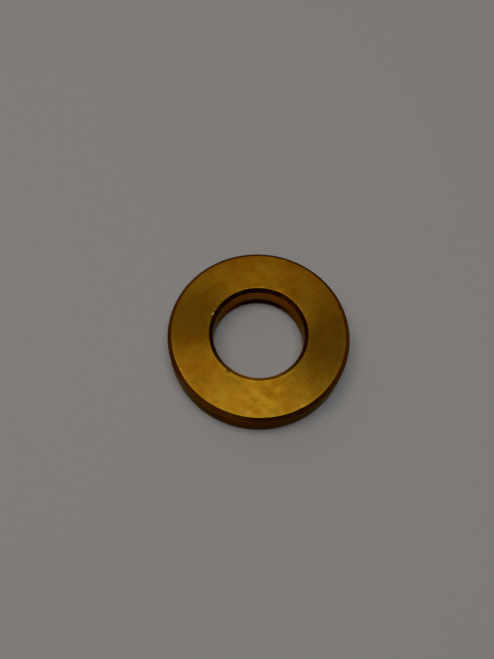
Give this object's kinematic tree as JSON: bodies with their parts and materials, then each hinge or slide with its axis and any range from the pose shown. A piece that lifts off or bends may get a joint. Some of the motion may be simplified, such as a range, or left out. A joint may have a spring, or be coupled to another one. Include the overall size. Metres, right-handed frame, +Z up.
{
  "type": "flat washer",
  "caption": "Thick flat brass washer: a plain turned ring with a round clearance bore and small chamfers on every corner.",
  "frame": {"origin": "centre of the bore in the bottom face, the face that the washer lies on", "axes": "+Z up along the bore's axis, from the bottom face to the top face; the ring is the same all round, so X and Y are any two square directions across it"},
  "size_m": [0.0254, 0.0254, 0.0044],
  "materials": {
    "brass": "turned, lightly tarnished"
  },
  "bodies": {
    "root": {"washer": "brass"}
  },
  "joints": []
}
